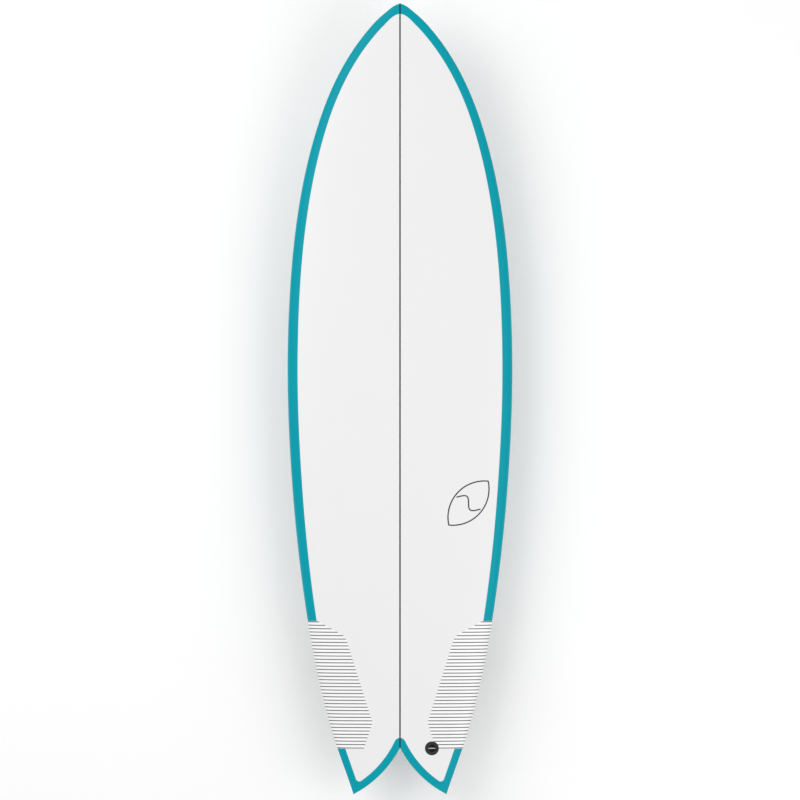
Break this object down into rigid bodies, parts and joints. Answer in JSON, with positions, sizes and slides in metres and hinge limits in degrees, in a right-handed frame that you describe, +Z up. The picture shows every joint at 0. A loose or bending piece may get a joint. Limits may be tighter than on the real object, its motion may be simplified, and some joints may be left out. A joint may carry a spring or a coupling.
{
  "type": "fish surfboard",
  "caption": "Swallow-tailed fish surfboard with a coloured rail band, tail patches, a leash plug in the deck and removable side fins in boxes.",
  "frame": {"origin": "on the floor under the middle of the board's length and width, at the level of the front fin tips", "axes": "+Y towards the nose, +Z up out of the deck, +X towards the right-hand rail as seen on the deck with the nose up"},
  "size_m": [0.547, 1.9047, 0.2173],
  "materials": {
    "foam": "matt closed-cell foam",
    "dense_foam": "matt dense foam",
    "timber": "sawn softwood",
    "clear_glass": "satin resin over white foam",
    "colour_band": "satin tinted resin",
    "white_patch": "satin white resin",
    "dark_tow": "dark fibre under resin",
    "dark_line": "black resin line",
    "black_plastic": "moulded black plastic",
    "white_plastic": "moulded white plastic",
    "bright_steel": "polished stainless steel",
    "screw_steel": "plain stainless steel",
    "fin": "satin glass-filled plastic"
  },
  "bodies": {
    "board": {"core_left": "foam", "core_right": "foam", "stringer": "timber", "deck_laminate": "clear_glass", "bottom_laminate": "clear_glass", "deck_pinline": "dark_line", "deck_emblem": "dark_line", "leash_plug_cup": "black_plastic", "leash_plug_bar": "bright_steel", "leash_plug_foam": "dense_foam", "rail_band_right": "colour_band", "tail_band_right": "colour_band", "tail_patch_right": "white_patch", "carbon_tows_right": "dark_tow", "front_fin_box_right": "white_plastic", "front_fin_box_foam_right": "dense_foam", "rear_fin_box_right": "white_plastic", "rear_fin_box_foam_right": "dense_foam", "rail_band_left": "colour_band", "tail_band_left": "colour_band", "tail_patch_left": "white_patch", "carbon_tows_left": "dark_tow", "front_fin_box_left": "white_plastic", "front_fin_box_foam_left": "dense_foam", "rear_fin_box_left": "white_plastic", "rear_fin_box_foam_left": "dense_foam"},
    "front_right_fin": {"front_fin_right": "fin"},
    "front_right_screw": {"front_fin_screw_right": "screw_steel"},
    "front_left_fin": {"front_fin_left": "fin"},
    "front_left_screw": {"front_fin_screw_left": "screw_steel"},
    "rear_right_fin": {"rear_fin_right": "fin"},
    "rear_right_screw": {"rear_fin_screw_right": "screw_steel"},
    "rear_left_fin": {"rear_fin_left": "fin"},
    "rear_left_screw": {"rear_fin_screw_left": "screw_steel"}
  },
  "joints": [
    {"name": "front_right_fin_slide", "type": "slide", "parent": "board", "child": "front_right_fin", "axis": [0.1081, -0.0688, -0.9918], "range_m": [0, 0.02]},
    {"name": "front_right_screw_travel", "type": "slide", "parent": "board", "child": "front_right_screw", "axis": [0.0289, 0.7425, -0.6692], "range_m": [0, 0.004]},
    {"name": "front_left_fin_slide", "type": "slide", "parent": "board", "child": "front_left_fin", "axis": [-0.1081, -0.0688, -0.9918], "range_m": [0, 0.02]},
    {"name": "front_left_screw_travel", "type": "slide", "parent": "board", "child": "front_left_screw", "axis": [-0.0289, 0.7425, -0.6692], "range_m": [0, 0.004]},
    {"name": "rear_right_fin_slide", "type": "slide", "parent": "board", "child": "rear_right_fin", "axis": [0.0743, -0.0855, -0.9936], "range_m": [0, 0.0175]},
    {"name": "rear_right_screw_travel", "type": "slide", "parent": "board", "child": "rear_right_screw", "axis": [0.0063, 0.7312, -0.6821], "range_m": [0, 0.004]},
    {"name": "rear_left_fin_slide", "type": "slide", "parent": "board", "child": "rear_left_fin", "axis": [-0.0743, -0.0855, -0.9936], "range_m": [0, 0.0175]},
    {"name": "rear_left_screw_travel", "type": "slide", "parent": "board", "child": "rear_left_screw", "axis": [-0.0063, 0.7312, -0.6821], "range_m": [0, 0.004]}
  ]
}
